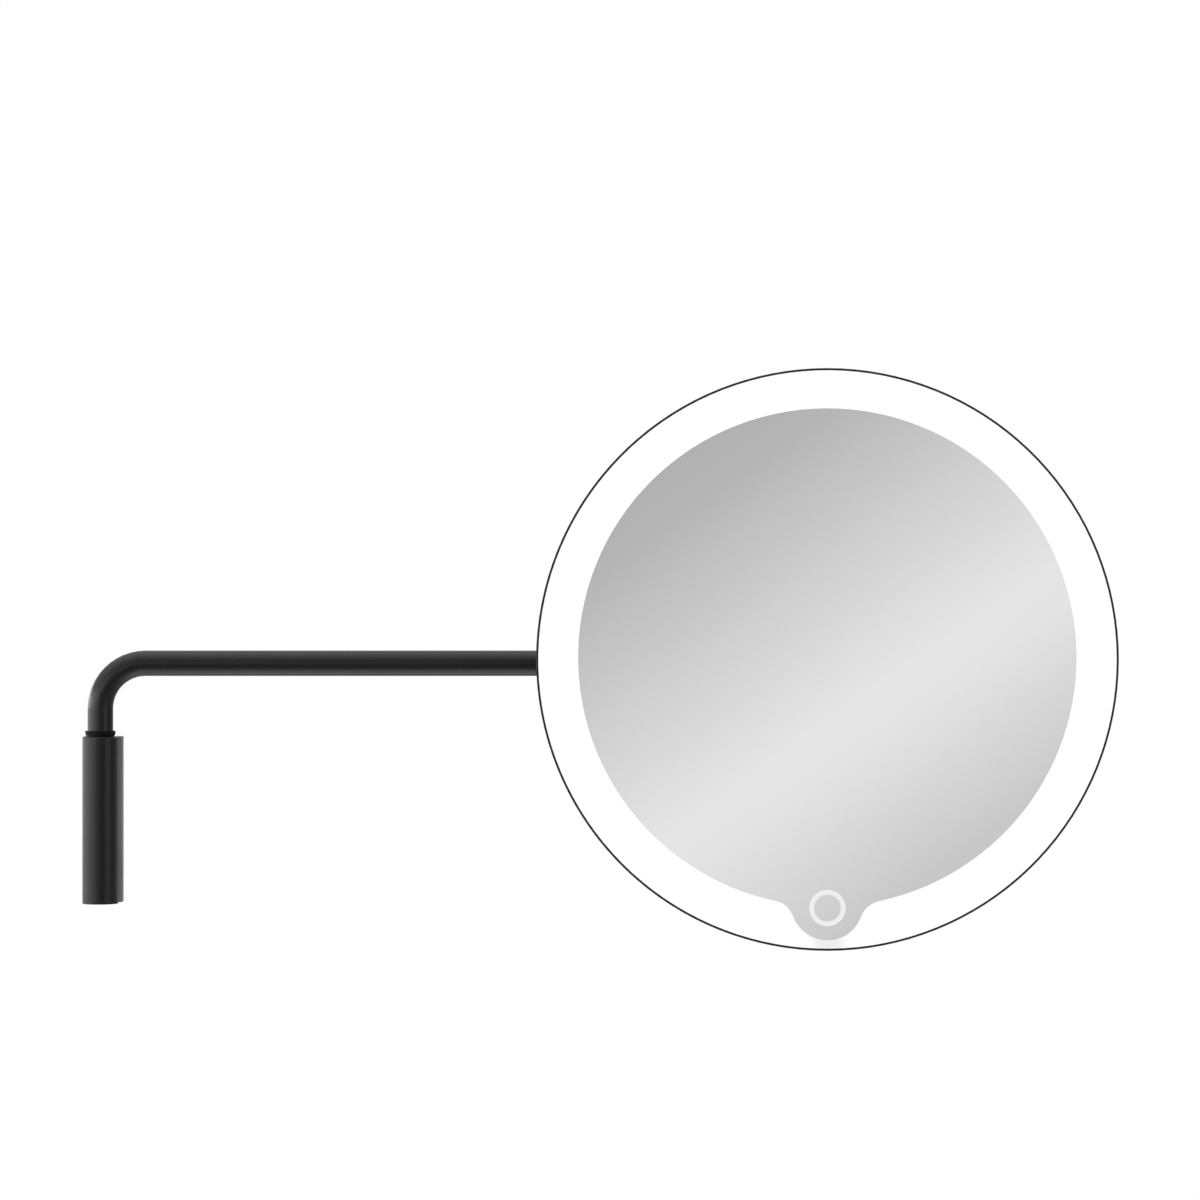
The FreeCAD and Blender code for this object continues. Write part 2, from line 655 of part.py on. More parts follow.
def make_arm_tube():
    """One bent tube: up out of the sleeve, round the bend, then level to the eye."""
    body = new_body("arm_tube", SLEEVE_AT)
    path = new_sketch(body, "XZ")
    foot = ("0", "arm_foot")
    bend_start = ("0", "arm_height - arm_bend_radius")
    bend_end = ("arm_bend_radius", "arm_height")
    tube_end = ("arm_reach - eye_neck", "arm_height")
    centre = ("arm_bend_radius", "arm_height - arm_bend_radius")
    upright = path.addGeometry(Part.LineSegment(vector(foot), vector(bend_start)))
    circle = Part.Circle(vector(centre), FreeCAD.Vector(0, 0, 1), value("arm_bend_radius"))
    bend = path.addGeometry(Part.ArcOfCircle(circle, math.pi / 2, math.pi))
    level = path.addGeometry(Part.LineSegment(vector(bend_end), vector(tube_end)))
    path.addConstraint(Sketcher.Constraint("Tangent", upright, 2, bend, 2))
    path.addConstraint(Sketcher.Constraint("Tangent", bend, 1, level, 1))
    path.addConstraint(Sketcher.Constraint("Vertical", upright))
    path.addConstraint(Sketcher.Constraint("Horizontal", level))
    constrain(path, "Radius", (bend,), "arm_bend_radius")
    pin_down(path, upright, 1, foot)
    pin_down(path, level, 2, tube_end)
    section = new_sketch(body, "XY", raised="arm_foot")
    add_circle(section, "arm_radius")
    add_circle(section, "tube_bore")
    pipe = body.newObject("PartDesign::AdditivePipe", "AdditivePipe")
    pipe.Profile = section
    pipe.Spine = path
    doc.recompute()
    run = value("arm_height - arm_bend_radius - arm_foot + arm_reach - eye_neck - arm_bend_radius")
    length = run + value("arm_bend_radius") * math.pi / 2
    metal = math.pi * (value("arm_radius") ** 2 - value("tube_bore") ** 2) * length
    if abs(body.Shape.Volume / metal - 1) > 1e-3:
        raise RuntimeError("arm_tube: the bent tube doesn't hold its section")
    cross_hole = new_sketch(body, "XY", raised="arm_height")
    hole_at = ("arm_reach - eye_neck - spigot_length / 2", "0")
    add_circle(cross_hole, "eye_pin_diameter / 2", hole_at)
    pocket(body, cross_hole, both_ways=True)


def make_arm_plug():
    thread = "shank_radius + fit_clearance"
    section = ring_section(thread, "tube_bore - fit_clearance", "arm_foot", "arm_foot + plug_length")
    turned("arm_plug", SLEEVE_AT, "XZ", section)


def make_tension_screw():
    """The screw that pulls the arm down on its washer and sets how stiffly it swings."""
    head = "tension_screw_head / 2"
    top = "spring_bottom + tension_screw_length"
    under = "spring_bottom - tension_screw_height"
    body = turned(
        "tension_screw",
        SLEEVE_AT,
        "XZ",
        [
            ("0", under),
            (f"{head} - bevel", under),
            (head, f"{under} + bevel"),
            (head, "spring_bottom"),
            ("shank_radius", "spring_bottom"),
            ("shank_radius", f"{top} - bevel"),
            ("shank_radius - bevel", top),
            ("0", top),
        ],
    )
    drive = new_sketch(body, "XY", raised=under)
    add_hexagon(drive, "socket_width")
    pocket(body, drive, "socket_depth", reverse=True)


def make_spring_washer():
    """A split ring under the friction disc."""
    inner = "shank_radius + slip_clearance"
    outer = "tension_screw_head / 2"
    section = ring_section(inner, outer, "spring_bottom", "disc_bottom")
    body = turned("spring_washer", SLEEVE_AT, "XZ", section)
    slit = new_sketch(body, "XY", raised="web_bottom")
    add_rectangle(slit, ("0", "-spring_slit / 2"), (f"{outer} + spring_slit", "spring_slit / 2"))
    pocket(body, slit)


def make_arm_eye():
    """The arm's end fitting: a spigot in the tube, a neck, and an upright barrel with a bore."""
    body = new_body("arm_eye", EYE_AT)
    spigot = new_sketch(body, "XY")
    inner_end = "-eye_neck - spigot_length"
    reach = "tube_bore - fit_clearance"
    add_polygon(
        spigot,
        [
            (inner_end, "0"),
            (inner_end, f"{reach} - bevel"),
            (f"{inner_end} + bevel", reach),
            ("-eye_neck", reach),
            ("-eye_neck", "arm_radius"),
            ("-eye_radius / 2", "arm_radius"),
            ("-eye_radius / 2", "0"),
        ],
    )
    revolve(body, spigot, "H_Axis")
    barrel = new_sketch(body, "XY")
    add_circle(barrel, "eye_radius")
    pad(body, barrel, "eye_height", both_ways=True)
    half = value("eye_height / 2")
    outside = value("eye_radius")
    soften(
        body,
        "Chamfer",
        "bevel",
        lambda edge: is_circle(edge, outside) and is_near(abs(edge.CenterOfMass.z), half),
    )
    bore = new_sketch(body, "XY")
    add_circle(bore, "pin_radius + running_clearance")
    add_circle(bore, "eye_pin_diameter / 2", ("-eye_neck - spigot_length / 2", "0"))
    pocket(body, bore, both_ways=True)


def make_eye_pin():
    at = ("arm_reach - eye_neck - spigot_length / 2", "-axis_gap", "arm_height")
    radius = "eye_pin_diameter / 2 - fit_clearance"
    half = "arm_radius - slip_clearance"
    turned(
        "eye_pin",
        at,
        "XZ",
        [
            ("0", f"-({half})"),
            (f"{radius} - fine_bevel", f"-({half})"),
            (radius, f"-({half}) + fine_bevel"),
            (radius, f"{half} - fine_bevel"),
            (f"{radius} - fine_bevel", half),
            ("0", half),
        ],
    )


# ---------------------------------------------------------------------------------------------
# Knuckle
# ---------------------------------------------------------------------------------------------


def pin_section(outside):
    """Half of a hinge pin: a low head outside one ear, and a barrel that reaches through the other."""
    head = "pin_head_diameter / 2"
    top = f"{outside} + pin_head_height"
    bottom = f"-({outside}) + pin_end_gap"
    return [
        ("0", f"{bottom} + pin_thread_depth"),
        ("pin_thread / 2 + fit_clearance", f"{bottom} + pin_thread_depth"),
        ("pin_thread / 2 + fit_clearance", bottom),
        ("pin_radius", bottom),
        ("pin_radius", outside),
        (head, outside),
        (head, f"{top} - bevel"),
        (f"{head} - bevel", top),
        ("0", top),
    ]


def screw_section(outside):
    """Half of the screw that closes a hinge pin from the far side."""
    head = "pin_head_diameter / 2"
    bottom = f"-({outside}) - pin_head_height"
    tip = f"-({outside}) + pin_thread_depth - thread_relief"
    return [
        ("0", bottom),
        (f"{head} - bevel", bottom),
        (head, f"{bottom} + bevel"),
        (head, f"-({outside})"),
        ("pin_thread / 2", f"-({outside})"),
        ("pin_thread / 2", tip),
        ("0", tip),
    ]


def make_hinge_pair(name, at, outside, upright):
    """A hinge pin and its screw, with a hexagon socket in each head."""
    top = f"{outside} + pin_head_height"
    for piece, section, end, inward in (
        (f"{name}_pin", pin_section(outside), top, False),
        (f"{name}_screw", screw_section(outside), f"-({top})", True),
    ):
        if upright:
            body = turned(piece, at, "XZ", section)
            drive = new_sketch(body, "XY", raised=end)
        else:
            body = turned(piece, at, "XY", turned_over(section), "H_Axis")
            drive = new_sketch(body, "YZ", raised=end)
        add_hexagon(drive, "socket_width")
        pocket(body, drive, "socket_depth", reverse=inward)


def make_hinge_washers(name, at, half, upright):
    """Two friction washers, one on each side of a barrel."""
    body = new_body(name, at)
    inside = f"{half} + hinge_washer"
    outer = "hinge_washer_diameter / 2"
    for low, high in ((half, inside), (f"-({inside})", f"-({half})")):
        section = ring_section("pin_radius + fit_clearance", outer, low, high)
        sketch = new_sketch(body, "XZ" if upright else "XY")
        add_polygon(sketch, section if upright else turned_over(section))
        revolve(body, sketch, "V_Axis" if upright else "H_Axis")


def make_swivel_fork():
    """Two level ears round the eye, a bridge in front of it, and a level barrel for the tilt hinge."""
    body = new_body("swivel_fork", EYE_AT)
    for shape in ("round", "square"):
        ears = new_sketch(body, "XY")
        if shape == "round":
            add_circle(ears, "eye_radius")
        else:
            add_rectangle(ears, ("-eye_radius", "-bridge_front"), ("eye_radius", "0"))
        pad(body, ears, "2 * (ear_outside)", both_ways=True)
    outside = value("ear_outside")
    soften(
        body,
        "Fillet",
        "edge_round",
        lambda edge: all(is_near(abs(point.Z), outside) for point in edge.Vertexes)
        and is_near(abs(edge.CenterOfMass.z), outside),
    )
    gap = new_sketch(body, "YZ")
    add_rectangle(gap, ("-bridge_back", "-(ear_inside)"), ("eye_radius + fork_gap", "ear_inside"))
    pocket(body, gap, both_ways=True)
    neck = new_sketch(body, "YZ")
    half = "barrel_diameter / 2"
    middle = "-bridge_back - bridge_thickness / 2"
    add_rectangle(neck, ("-swivel_to_tilt", f"-({half})"), (middle, half))
    pad(body, neck, "barrel_width", both_ways=True)
    barrel = new_sketch(body, "YZ")
    add_circle(barrel, half, ("-swivel_to_tilt", "0"))
    pad(body, barrel, "barrel_width", both_ways=True)
    upright_bore = new_sketch(body, "XY")
    add_circle(upright_bore, "pin_radius + fit_clearance")
    pocket(body, upright_bore, both_ways=True)
    level_bore = new_sketch(body, "YZ")
    add_circle(level_bore, "pin_radius + running_clearance", ("-swivel_to_tilt", "0"))
    pocket(body, level_bore, both_ways=True)


def make_tilt_bracket():
    """A disc on the back of the head with two upright ears that hold the tilt pin."""
    body = new_body("tilt_bracket", TILT_AT)
    rear = "-tilt_to_back + bracket_thickness"
    for shape in ("round", "square"):
        ears = new_sketch(body, "YZ")
        if shape == "round":
            add_circle(ears, "bracket_ear_radius")
        else:
            add_rectangle(ears, ("-tilt_to_back", "-bracket_ear_radius"), ("0", "bracket_ear_radius"))
        pad(body, ears, "2 * (tilt_ear_outside)", both_ways=True)
    gap = new_sketch(body, "XY")
    low = ("-(tilt_ear_inside)", "-tilt_to_back")
    add_rectangle(gap, low, ("tilt_ear_inside", "bracket_ear_radius + loose_clearance"))
    pocket(body, gap, both_ways=True)
    disc = new_sketch(body, "XZ", raised=f"-({rear})")
    add_circle(disc, "bracket_diameter / 2")
    pad(body, disc, "bracket_thickness")
    rim = value("bracket_diameter / 2")
    back = value(rear)
    soften(
        body,
        "Chamfer",
        "bevel",
        lambda edge: is_circle(edge, rim) and is_near(edge.CenterOfMass.y, back),
    )
    bore = new_sketch(body, "YZ")
    add_circle(bore, "pin_radius + fit_clearance")
    pocket(body, bore, both_ways=True)
    hole = new_sketch(body, "XZ")
    hole_radius = "bracket_screw / 2 + slip_clearance"
    spot = "bracket_screw_circle / 2 * cos(45)"
    add_circle(hole, hole_radius, (spot, spot))
    cut = pocket(body, hole, both_ways=True)
    repeat_round(body, cut, (hole, ["N_Axis"]), "4")


def make_bracket_screws():
    """Four pan-head screws through the bracket into the housing's bosses."""
    body = new_body("bracket_screws", TILT_AT)
    seat = "-tilt_to_back + bracket_thickness"
    spot = "bracket_screw_circle / 2 * cos(45)"
    for radius, low, length in (
        ("bracket_screw_head / 2", seat, "bracket_screw_height"),
        ("bracket_screw / 2", f"{seat} - bracket_screw_length", "bracket_screw_length"),
    ):
        sketch = new_sketch(body, "XZ", raised=f"-({low})")
        add_circle(sketch, radius, (spot, spot))
        part = pad(body, sketch, length, reverse=True)
        repeat_round(body, part, (sketch, ["N_Axis"]), "4")
    top = value(f"{seat} + bracket_screw_height")
    head = value("bracket_screw_head / 2")
    soften(
        body,
        "Fillet",
        "bevel",
        lambda edge: is_circle(edge, head) and is_near(edge.CenterOfMass.y, top),
    )


# ---------------------------------------------------------------------------------------------
# Head
# ---------------------------------------------------------------------------------------------


def ring_of(body, plane_depth, radius, spot, length, toward_front, count, drop="0"):
    """Round pads set evenly about the head's axis, or about a point that lies below it."""
    sketch = new_sketch(body, "XZ", raised=f"-({plane_depth})", shift=("0", f"-({drop})"))
    add_circle(sketch, radius, (spot, spot))
    part = pad(body, sketch, length, reverse=not toward_front)
    repeat_round(body, part, (sketch, ["N_Axis"]), count)


def holes_of(body, plane_depth, radius, spot, length, count, drop="0"):
    """Round holes set evenly as ring_of sets pads, cut from a plane towards the front."""
    sketch = new_sketch(body, "XZ", raised=f"-({plane_depth})", shift=("0", f"-({drop})"))
    add_circle(sketch, radius, (spot, spot))
    cut = pocket(body, sketch, length, reverse=True)
    repeat_round(body, cut, (sketch, ["N_Axis"]), count)


TRAY_SPOT = "(tray_radius - tray_screw_inset) * cos(45)"
BRACKET_SPOT = "bracket_screw_circle / 2 * cos(45)"


def make_rear_housing():
    """The round shell: a flat back, a rounded rear edge and a thin lip round the light ring."""
    body = turned(
        "rear_housing",
        HEAD_AT,
        "XY",
        [
            ("0", "back_inside"),
            ("housing_inside", "back_inside"),
            ("housing_inside", "glass_thickness"),
            ("rebate_radius", "glass_thickness"),
            ("rebate_radius", "0"),
            ("head_radius", "0"),
            ("head_radius", "head_depth"),
            ("0", "head_depth"),
        ],
    )
    outside, inside = value("head_radius"), value("housing_inside")
    rear, floor = value("head_depth"), value("back_inside")
    soften(
        body,
        "Fillet",
        "housing_round",
        lambda edge: is_circle(edge, outside) and is_near(edge.CenterOfMass.y, rear),
    )
    soften(
        body,
        "Fillet",
        "housing_round - housing_wall",
        lambda edge: is_circle(edge, inside) and is_near(edge.CenterOfMass.y, floor),
    )
    soften(
        body,
        "Chamfer",
        "fine_bevel",
        lambda edge: is_circle(edge, outside) and is_near(edge.CenterOfMass.y, 0),
    )
    ring_of(body, "back_inside", "boss_diameter / 2", BRACKET_SPOT, "boss_height", True, "4",
            drop="knuckle_drop")
    thread = "bracket_screw / 2 + fit_clearance"
    depth = "bracket_screw_length - bracket_thickness + thread_relief"
    holes_of(body, "head_depth", thread, BRACKET_SPOT, depth, "4", drop="knuckle_drop")
    hole = "tray_screw / 2 + slip_clearance"
    through = "housing_wall + slip_clearance"
    holes_of(body, "head_depth", hole, TRAY_SPOT, through, "4")
    hole_radius = value(hole)
    soften(
        body,
        "Chamfer",
        "tray_screw_head / 2 - tray_screw / 2",
        lambda edge: is_circle(edge, hole_radius) and is_near(edge.CenterOfMass.y, rear),
    )
    mouth = new_sketch(body, "XZ", raised="-(head_depth)")
    gap = "2 * slip_clearance"
    centre = ("0", "-board_drop")
    add_block(mouth, f"socket_body_width + {gap}", f"socket_body_height + {gap}", centre)
    pocket(body, mouth, through, reverse=True)
    side = value(f"(socket_body_width + {gap}) / 2")
    soften(
        body,
        "Fillet",
        "socket_corner + slip_clearance",
        lambda edge: is_line_along(edge, "y") and is_near(abs(edge.CenterOfMass.x), side),
    )


def add_mirror_outline(body, grow, cut):
    """The mirror's outline, grown by a clearance: a disc, a round tab, and two hollow roundings."""
    for radius, centre in (
        ("glass_radius", ("0", "glass_rise")),
        ("tab_radius", ("0", "-tab_drop")),
    ):
        sketch = new_sketch(body, "XZ")
        add_circle(sketch, f"{radius} + {grow}", centre)
        if cut:
            pocket(body, sketch, both_ways=True)
        else:
            pad(body, sketch, "glass_thickness", reverse=True)
    limit = value("tab_radius + tab_fillet")
    soften(
        body,
        "Fillet",
        f"tab_fillet - {grow}",
        lambda edge: is_line_along(edge, "y") and abs(edge.CenterOfMass.x) < limit,
    )


def make_mirror_glass():
    body = new_body("mirror_glass", HEAD_AT)
    add_mirror_outline(body, "0", cut=False)
    groove = new_sketch(body, "XZ")
    add_circle(groove, "mark_inner - fit_clearance", ("0", "-mark_drop"))
    add_circle(groove, "mark_outer + fit_clearance", ("0", "-mark_drop"))
    pocket(body, groove, "mark_depth")


def make_light_diffuser():
    body = new_body("light_diffuser", HEAD_AT)
    disc = new_sketch(body, "XZ")
    add_circle(disc, "rebate_radius - slip_clearance")
    pad(body, disc, "glass_thickness", reverse=True)
    add_mirror_outline(body, "slip_clearance", cut=True)


def disc_piece(name, radii, centre, front, thickness):
    """A flat round piece, or a ring if it has two radii, in the head's front layers."""
    body = new_body(name, HEAD_AT)
    sketch = new_sketch(body, "XZ", raised=f"-({front})")
    for radius in radii:
        add_circle(sketch, radius, centre)
    pad(body, sketch, thickness, reverse=True)


def make_front_layers():
    middle = ("0", "0")
    mark = ("0", "-mark_drop")
    disc_piece("touch_mark", ("mark_inner", "mark_outer"), mark, "0", "mark_depth")
    disc_piece("touch_pad", ("pad_radius",), mark, "glass_thickness", "pad_thickness")
    tape = ("tape_inner", "tape_outer")
    disc_piece("glass_tape", tape, middle, "glass_thickness", "tape_thickness")
    strip = ("strip_inner", "strip_outer")
    disc_piece("led_strip", strip, middle, "strip_front", "strip_thickness")


def make_led_chips():
    body = new_body("led_chips", HEAD_AT)
    sketch = new_sketch(body, "XZ", raised="-(strip_front)")
    middle = ("0", "ring_radius")
    add_block(sketch, "chip_length", "chip_width", middle)
    chip = pad(body, sketch, "chip_height")
    repeat_round(body, chip, (sketch, ["N_Axis"]), "chip_count")


BOARD_SPOTS = [
    (
        f"{across}(board_width / 2 - board_screw_inset)",
        f"-board_drop {up} (board_height / 2 - board_screw_inset)",
    )
    for across in ("-", "")
    for up in ("-", "+")
]


def make_inner_frame():
    """The white tray: a raised middle behind the mirror and a channel behind the light ring."""
    body = turned(
        "inner_frame",
        HEAD_AT,
        "XY",
        [
            ("0", "plate_front"),
            ("tray_radius", "plate_front"),
            ("tray_radius", "floor_front"),
            ("tray_rim - tray_wall", "floor_front"),
            ("tray_rim - tray_wall", "glass_thickness"),
            ("tray_rim", "glass_thickness"),
            ("tray_rim", "channel_floor"),
            ("tray_radius - tray_wall", "channel_floor"),
            ("tray_radius - tray_wall", "plate_back"),
            ("0", "plate_back"),
        ],
    )
    boss = "back_inside - plate_back"
    ring_of(body, "plate_back", "boss_diameter / 2", TRAY_SPOT, boss, False, "4")
    thread = "tray_screw / 2 + fit_clearance"
    holes_of(body, "back_inside", thread, TRAY_SPOT, "tray_screw_length + thread_relief", "4")
    posts = new_sketch(body, "XZ", raised="-(plate_back)")
    threads = new_sketch(body, "XZ", raised="-(board_front)")
    for spot in BOARD_SPOTS:
        add_circle(posts, "post_diameter / 2", spot)
        add_circle(threads, "board_screw / 2 + fit_clearance", spot)
    pad(body, posts, "board_post", reverse=True)
    depth = "board_screw_length - board_thickness + thread_relief"
    pocket(body, threads, depth, reverse=True)
    ways = new_sketch(body, "XZ")
    add_circle(ways, "wire_diameter / 2 + loose_clearance", ("light_lead", "light_way"))
    add_circle(ways, "thin_wire_diameter / 2 + loose_clearance", ("touch_lead", "touch_way"))
    pocket(body, ways, both_ways=True)


def make_frame_screws():
    """Four sunk screws through the housing's back into the tray's bosses."""
    body = new_body("frame_screws", HEAD_AT)
    shank = "tray_screw / 2"
    head = "tray_screw_head / 2"
    tip = "back_inside - tray_screw_length"
    sketch = new_sketch(body, "XY", raised=TRAY_SPOT, shift=(TRAY_SPOT, "0"))
    add_polygon(
        sketch,
        [
            ("0", tip),
            (shank, tip),
            (shank, f"head_depth - ({head} - {shank})"),
            (head, "head_depth"),
            ("0", "head_depth"),
        ],
    )
    screw = revolve(body, sketch)
    middle = [item for item in body.Origin.OriginFeatures if item.Role == "Y_Axis"]
    repeat_round(body, screw, (middle[0], [""]), "4")


def make_control_board():
    body = new_body("control_board", HEAD_AT)
    sketch = new_sketch(body, "XZ", raised="-(board_front)")
    add_block(sketch, "board_width", "board_height", ("0", "-board_drop"))
    for spot in BOARD_SPOTS:
        add_circle(sketch, "board_screw / 2 + slip_clearance", spot)
    pad(body, sketch, "board_thickness", reverse=True)


def make_board_screws():
    body = new_body("board_screws", HEAD_AT)
    for radius, low, length in (
        ("board_screw_head / 2", "board_back", "board_screw_height"),
        ("board_screw / 2", "board_back - board_screw_length", "board_screw_length"),
    ):
        sketch = new_sketch(body, "XZ", raised=f"-({low})")
        for spot in BOARD_SPOTS:
            add_circle(sketch, radius, spot)
        pad(body, sketch, length, reverse=True)


def make_board_parts():
    """What stands on the board's rear side: three connectors, a chip, a coil and four capacitors."""
    body = new_body("board_parts", HEAD_AT)
    power = ("board_width / 2 - lead_inset", "board_top - connector_depth / 2")
    light = ("light_lead", "board_foot + connector_depth / 2")
    touch = ("touch_lead", "board_foot + connector_depth / 2")
    small = ("small_part_length", "small_part_width", "small_part_height")
    for width, height, tall, centre in (
        ("power_connector", "connector_depth", "connector_height", power),
        ("light_connector", "connector_depth", "connector_height", light),
        ("touch_connector", "connector_depth", "connector_height", touch),
        ("controller_size", "controller_size", "small_part_height", ("-10", "-board_drop + 6")),
        ("coil_size", "coil_size", "coil_height", ("12", "-board_drop - 2")),
        (*small, ("3", "-board_drop + 8")),
        (*small, ("3", "-board_drop + 5")),
    ):
        sketch = new_sketch(body, "XZ", raised="-(board_back)")
        add_block(sketch, width, height, centre)
        pad(body, sketch, tall, reverse=True)
    cans = new_sketch(body, "XZ", raised="-(board_back)")
    for spot in (("-16", "-board_drop - 1"), ("-10.5", "-board_drop - 4")):
        add_circle(cans, "can_radius", spot)
    pad(body, cans, "back_inside - board_back - can_gap", reverse=True)


def make_charge_socket():
    """An upright charging socket: a rounded shell with a contact tongue in its mouth."""
    body = new_body("charge_socket", HEAD_AT)
    centre = ("0", "-board_drop")
    outside = ("socket_body_width", "socket_body_height")
    inside = [f"{size} - 2 * socket_shell" for size in outside]
    shell = new_sketch(body, "XZ", raised="-(board_back)")
    add_block(shell, *outside, centre)
    pad(body, shell, "socket_mouth - board_back", reverse=True)
    cavity = new_sketch(body, "XZ", raised="-(socket_mouth)")
    add_block(cavity, *inside, centre)
    pocket(body, cavity, "socket_cavity", reverse=True)
    for width, corner in (
        (inside[0], "socket_corner - socket_shell"),
        (outside[0], "socket_corner"),
    ):
        side = value(f"({width}) / 2")
        soften(
            body,
            "Fillet",
            corner,
            lambda edge: is_line_along(edge, "y") and is_near(abs(edge.CenterOfMass.x), side),
        )
    tongue = new_sketch(body, "XZ", raised="-(socket_mouth - socket_cavity)")
    add_block(tongue, "tongue_width", "tongue_height", centre)
    pad(body, tongue, "socket_cavity - tongue_recess", reverse=True)


def make_battery():
    centre = ("0", "battery_rise")
    tape = new_body("battery_tape", HEAD_AT)
    sketch = new_sketch(tape, "XZ", raised="-(plate_back)")
    across = "battery_width - 2 * battery_tape_inset"
    up = "battery_height - 2 * battery_tape_inset"
    add_block(sketch, across, up, centre)
    pad(tape, sketch, "battery_tape", reverse=True)
    cell = new_body("battery", HEAD_AT)
    sketch = new_sketch(cell, "XZ", raised="-(battery_front)")
    add_block(sketch, "battery_width", "battery_height", centre)
    pad(cell, sketch, "battery_thickness", reverse=True)
    soften(cell, "Fillet", "battery_corner", lambda edge: is_line_along(edge, "y"))


def lead_path(corners, bend):
    """Straight runs joined by tangent arcs, through corners given as vectors."""
    edges = []
    start = corners[0]
    for before, corner, after in zip(corners, corners[1:], corners[2:]):
        back = (before - corner).normalize()
        on = (after - corner).normalize()
        half = back.getAngle(on) / 2
        trim = bend / math.tan(half)
        middle = (back + on).normalize()
        apex = corner + middle * (bend / math.sin(half) - bend)
        enter = corner + back * trim
        leave = corner + on * trim
        edges.append(Part.LineSegment(start, enter).toShape())
        edges.append(Part.Arc(enter, apex, leave).toShape())
        start = leave
    edges.append(Part.LineSegment(start, corners[-1]).toShape())
    return Part.Wire(edges)


def tube_along(corners, bend, radius):
    path = lead_path(corners, bend)
    circle = Part.makeCircle(radius, corners[0], corners[1] - corners[0])
    tube = path.makePipeShell([Part.Wire([circle])], True, False)
    ideal = math.pi * radius**2 * path.Length
    if not tube.isValid() or abs(tube.Volume / ideal - 1) > 0.01:
        raise RuntimeError("inner_wires: a lead doesn't hold its section")
    return tube


def make_inner_wires():
    """The leads between the battery, the board, the light strip and the touch pad."""
    level = value("wire_depth")
    top, foot = value("board_top"), value("board_foot")
    cell_foot = value("battery_rise - battery_height / 2")
    behind = value("channel_floor + wire_diameter")
    light, light_way = value("light_lead"), value("light_way")
    touch, touch_way = value("touch_lead"), value("touch_way")
    thick, thin = value("wire_diameter / 2"), value("thin_wire_diameter / 2")
    bend = value("lead_bend")
    routes = []
    for side in ("-", "+"):
        across = value(f"board_width / 2 - lead_inset {side} lead_gap / 2")
        routes.append(([(across, level, cell_foot), (across, level, top)], thick))
    step = value("lead_step")
    to_lights = [
        (light, level, foot),
        (light, level, foot - step),
        (light, behind, foot - 2 * step),
        (light, behind, light_way),
        (light, value("floor_front"), light_way),
    ]
    routes.append((to_lights, thick))
    to_pad = [
        (touch, level, foot),
        (touch, level, touch_way),
        (touch, value("glass_thickness + slip_clearance"), touch_way),
    ]
    routes.append((to_pad, thin))
    tubes = [
        tube_along([FreeCAD.Vector(*corner) for corner in corners], bend * radius, radius)
        for corners, radius in routes
    ]
    leads = doc.addObject("Part::Feature", "inner_wires")
    leads.Label = "inner_wires"
    leads.Shape = Part.makeCompound(tubes)
    place(leads, HEAD_AT)
    pieces.append(leads)


# ---------------------------------------------------------------------------------------------
# The whole mirror
# ---------------------------------------------------------------------------------------------


def make_all():
    for make in (
        make_wall_plate,
        make_back_channel,
        make_lock_screw,
        make_sleeve_tube,
        make_upper_bushing,
        make_sleeve_rings,
        make_end_cap,
        make_arm_tube,
        make_arm_plug,
        make_tension_screw,
        make_spring_washer,
        make_arm_eye,
        make_eye_pin,
        make_swivel_fork,
        make_tilt_bracket,
        make_bracket_screws,
        make_rear_housing,
        make_inner_frame,
        make_frame_screws,
        make_mirror_glass,
        make_light_diffuser,
        make_front_layers,
        make_led_chips,
        make_control_board,
        make_board_screws,
        make_board_parts,
        make_charge_socket,
        make_battery,
        make_inner_wires,
    ):
        make()
    for name, at, half, outside, upright in (
        ("swivel", EYE_AT, "eye_height / 2", "ear_outside", True),
        ("tilt", TILT_AT, "barrel_width / 2", "tilt_ear_outside", False),
    ):
        make_hinge_pair(name, at, outside, upright)
        make_hinge_washers(f"{name}_washers", at, half, upright)


def check_all():
    """Stops before anything is written if an object has failed."""
    doc.recompute()
    for item in doc.Objects:
        if "Invalid" in item.State or "Error" in item.State:
            raise RuntimeError(f"{item.Label}: {item.State}")
    for piece in pieces:
        if piece.Shape.isNull() or not piece.Shape.isValid() or not piece.Shape.Solids:
            raise RuntimeError(f"{piece.Label}: no valid solid")


def write_all():
    os.makedirs("parts", exist_ok=True)
    for piece in pieces:
        piece.Shape.exportStep(f"parts/{piece.Label}.step")


fill_sheet()
make_all()
check_all()
write_all()
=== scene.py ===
import math

import bpy
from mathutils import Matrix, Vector


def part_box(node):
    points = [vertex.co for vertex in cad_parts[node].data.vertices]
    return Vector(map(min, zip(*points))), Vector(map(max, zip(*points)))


# Wall mirror with a lit round head on a swing arm, in metres. The mirror looks along -Y, +Z is up
# and +Y goes into the wall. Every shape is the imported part's own; this script gives each piece its
# finish, and makes the studio and the camera.

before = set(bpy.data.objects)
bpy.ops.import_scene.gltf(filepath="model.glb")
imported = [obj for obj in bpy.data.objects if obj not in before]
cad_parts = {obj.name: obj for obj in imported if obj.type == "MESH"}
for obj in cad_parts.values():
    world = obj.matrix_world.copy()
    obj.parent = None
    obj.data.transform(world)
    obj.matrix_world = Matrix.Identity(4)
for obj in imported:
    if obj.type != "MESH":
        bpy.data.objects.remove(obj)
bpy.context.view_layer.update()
scene = bpy.context.scene

MM = 0.001


# ---------------------------------------------------------------------------------------------
# Building blocks for node materials
# ---------------------------------------------------------------------------------------------


# A noise pattern's values lie mostly between these two.
NOISE_LOW = 0.3
NOISE_HIGH = 0.7
# About how far apart a wave pattern's rings are at scale 1, in metres.
WAVE_SPACING = 0.3


def grey(level):
    return (level, level, level)


